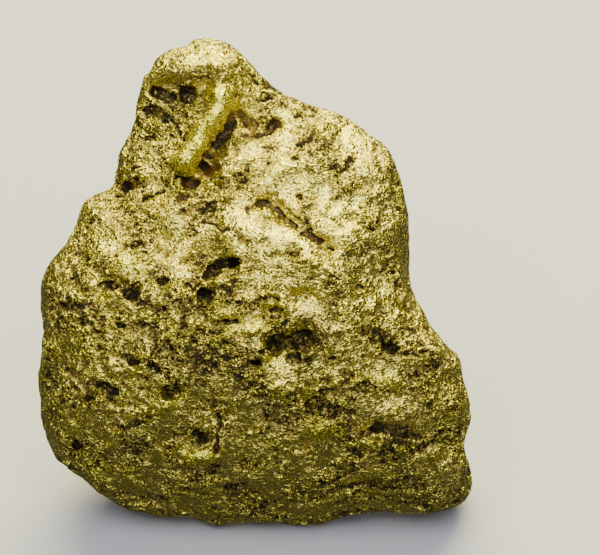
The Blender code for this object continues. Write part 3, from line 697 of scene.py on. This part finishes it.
def native_gold():
    """Greenish yellow gold: bright where worn, dull between, dark in the pits and hollows from dirt and
    painted shade, and rusty in the folds.
    """
    finish = bpy.context.scene.nugget_finish
    shader = Shader("native_gold")
    dirt = shader.attribute("dirt")
    rust = shader.attribute("rust")
    worn = shader.attribute("worn")
    rough = shader.attribute("rough")
    sheltered = shader.attribute("shelter")
    uneven = 0.4 + 0.6 * rough
    patches = shader.noise(PATCH_SIZE, detail=3.0)
    specks = shader.noise(SPECK_SIZE, detail=3.0)
    sand = shader.noise(SAND_SIZE, detail=1.0, stretch=GRAIN_STRETCH)
    pores = shader.noise(PORE_SIZE, detail=3.0, stretch=GRAIN_STRETCH, roughness=0.6)
    pores = pores.between(0.53, 0.57) * (0.1 + 0.9 * rough)
    facets = shader.facets(CRUMB_SIZE) * uneven * 0.8 + shader.facets(CHIP_SIZE) * uneven * 1.1
    height = sand * uneven * SAND_HEIGHT + facets - pores * PORE_DEPTH
    # Painted shade: the low spots of the sand darken the colour further down
    low = 1.0 - sand.between(0.42, 0.47)
    high = sand.between(0.5, 0.62)
    shine = (worn + (patches - 0.5) * 0.8 + high * 0.3).clamped()
    metal = shader.mixed(shine, tuple(finish.gold), tuple(finish.polished))
    # Painted shade: the colour darkens where the skin closes off a point's open side, in the pores and in the
    # low spots of the sand, on top of the kept dirt with painted shade; the specks add random tone
    deep = sheltered.between(0.28, 0.75)
    dirt_and_painted_shade = dirt * 0.95 + deep * 0.8 + pores * 0.6
    dirt_and_painted_shade = (dirt_and_painted_shade + low * (0.2 + 0.8 * rough) * 0.75 + (specks - 0.55) * 0.4).clamped()
    rusty = rust * 1.1 + (specks - 0.5) * 0.8 * rust
    rusty = (rusty + sheltered.between(0.2, 0.5) * (patches - 0.35) * 0.7).clamped()
    color = shader.mixed(rusty * 0.8, metal, tuple(finish.rust))
    # The pit colour laid as dirt and painted shade
    color = shader.mixed(dirt_and_painted_shade, color, tuple(finish.pit))
    surface = shader.surface
    shader.put(surface.inputs["Base Color"], color)
    shader.put(surface.inputs["Metallic"], (1.0 - rusty * 0.2 - dirt_and_painted_shade * 0.2).clamped())
    roughness = 0.19 + dirt_and_painted_shade * 0.25 + rusty * 0.2 + (specks - 0.5) * 0.2
    shader.put(surface.inputs["Roughness"], roughness.clamped())
    bump = shader.node("ShaderNodeBump", {}, {"Strength": 1.0, "Distance": 1.0, "Height": height})
    shader.put(surface.inputs["Normal"], bump)
    return shader.material


def plain_floor(color):
    """A dull plain colour."""
    shader = Shader("plain_floor")
    shader.surface.inputs["Base Color"].default_value = color
    shader.surface.inputs["Roughness"].default_value = 0.9
    return shader.material


class NUGGET_OT_skin(bpy.types.Operator):
    """Model the nugget's skin on a copy of its solid"""

    bl_idname = "nugget.skin"
    bl_label = "Nugget Skin"

    def execute(self, context):
        settings = context.scene.nugget_skin
        piece = refined_copy(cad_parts["gold_nugget"])
        skin = carve_and_wear(piece.data)
        apply_modifier(piece, "TRIANGULATE")
        thin_skin(piece, skin.facing > 0.0, settings.triangles, settings.triangles_behind)
        set_mesh_points(piece.data, mesh_points(piece.data))
        # The share of each point's open side closed off by the skin: the material darkens the colour there as
        # painted shade, and lays rust there
        put_attribute(piece.data, "shelter", shelter(piece))
        bpy.ops.object.shade_smooth()
        piece.data.materials.clear()
        piece.data.materials.append(native_gold())
        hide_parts("gold_nugget")
        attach(piece, "root")
        return {"FINISHED"}


def lay_floor(color):
    """A wide plain floor that the gold doesn't mirror."""
    bpy.ops.mesh.primitive_plane_add(size=FLOOR_SIZE, location=(0.0, 0.0, 0.0))
    floor = bpy.context.object
    floor.name = "floor"
    floor.data.materials.append(plain_floor(color))
    floor.visible_glossy = False


def area_light(name, place, size, power, color):
    """One soft rectangular light, turned to the nugget."""
    bpy.ops.object.light_add(type="AREA", location=place)
    lamp = bpy.context.object
    lamp.name = name
    lamp.data.shape = "RECTANGLE"
    lamp.data.size, lamp.data.size_y = size
    lamp.data.energy = power
    lamp.data.color = color
    lamp.rotation_euler = (LIGHTS_AIM - Vector(place)).to_track_quat("-Z", "Y").to_euler()


def dim_room(level):
    """An even grey room around the scene."""
    world = bpy.data.worlds.new("room")
    bpy.context.scene.world = world
    world.use_nodes = True
    world.node_tree.nodes["Background"].inputs["Color"].default_value = (level, level, level, 1.0)


def place_camera(distance):
    """The camera, square to the broad face."""
    towards_camera = Vector((0.0, -math.cos(LEAN), math.sin(LEAN)))
    bpy.ops.object.camera_add(location=from_face(*FRAME_MIDDLE) + towards_camera * distance)
    camera = bpy.context.object
    camera.name = "camera"
    camera.rotation_euler = (-towards_camera).to_track_quat("-Z", "Y").to_euler()
    camera.data.lens = camera.data.sensor_width * distance / (FRAME_WIDTH * MM)
    bpy.context.scene.camera = camera


class NUGGET_OT_studio(bpy.types.Operator):
    """Set the plain floor, the soft lights and the camera"""

    bl_idname = "nugget.studio"
    bl_label = "Nugget Studio"

    def execute(self, context):
        studio = context.scene.nugget_studio
        bpy.ops.object.select_all(action="DESELECT")
        lay_floor(tuple(studio.floor_color))
        for name, place, size, power, color in SOFT_LIGHTS:
            area_light(name, place, size, getattr(studio, power), color)
        dim_room(studio.world_level)
        place_camera(studio.camera_distance)
        return {"FINISHED"}


class NUGGET_PT_panel(bpy.types.Panel):
    """The settings and the buttons that build the nugget and its studio"""

    bl_label = "Nugget"
    bl_space_type = "VIEW_3D"
    bl_region_type = "UI"
    bl_category = "Nugget"

    def draw(self, context):
        for group in ("nugget_skin", "nugget_finish", "nugget_studio"):
            settings = getattr(context.scene, group)
            for name in settings.__annotations__:
                self.layout.prop(settings, name)
        for operator in OPERATORS:
            self.layout.operator(operator.bl_idname)


GROUPS = {"nugget_skin": NuggetSkin, "nugget_finish": NuggetFinish, "nugget_studio": NuggetStudio}
OPERATORS = (NUGGET_OT_skin, NUGGET_OT_studio)
CLASSES = (*GROUPS.values(), *OPERATORS, NUGGET_PT_panel)


def register():
    """Adds the classes and the scene's settings."""
    for kind in CLASSES:
        bpy.utils.register_class(kind)
    for name, group in GROUPS.items():
        setattr(bpy.types.Scene, name, PointerProperty(type=group))


def unregister():
    """Removes the scene's settings and the classes."""
    for name in GROUPS:
        delattr(bpy.types.Scene, name)
    for kind in reversed(CLASSES):
        bpy.utils.unregister_class(kind)


def main():
    """Builds the nugget and its studio."""
    register()
    bpy.ops.nugget.skin()
    bpy.ops.nugget.studio()


if __name__ == "__main__":
    main()
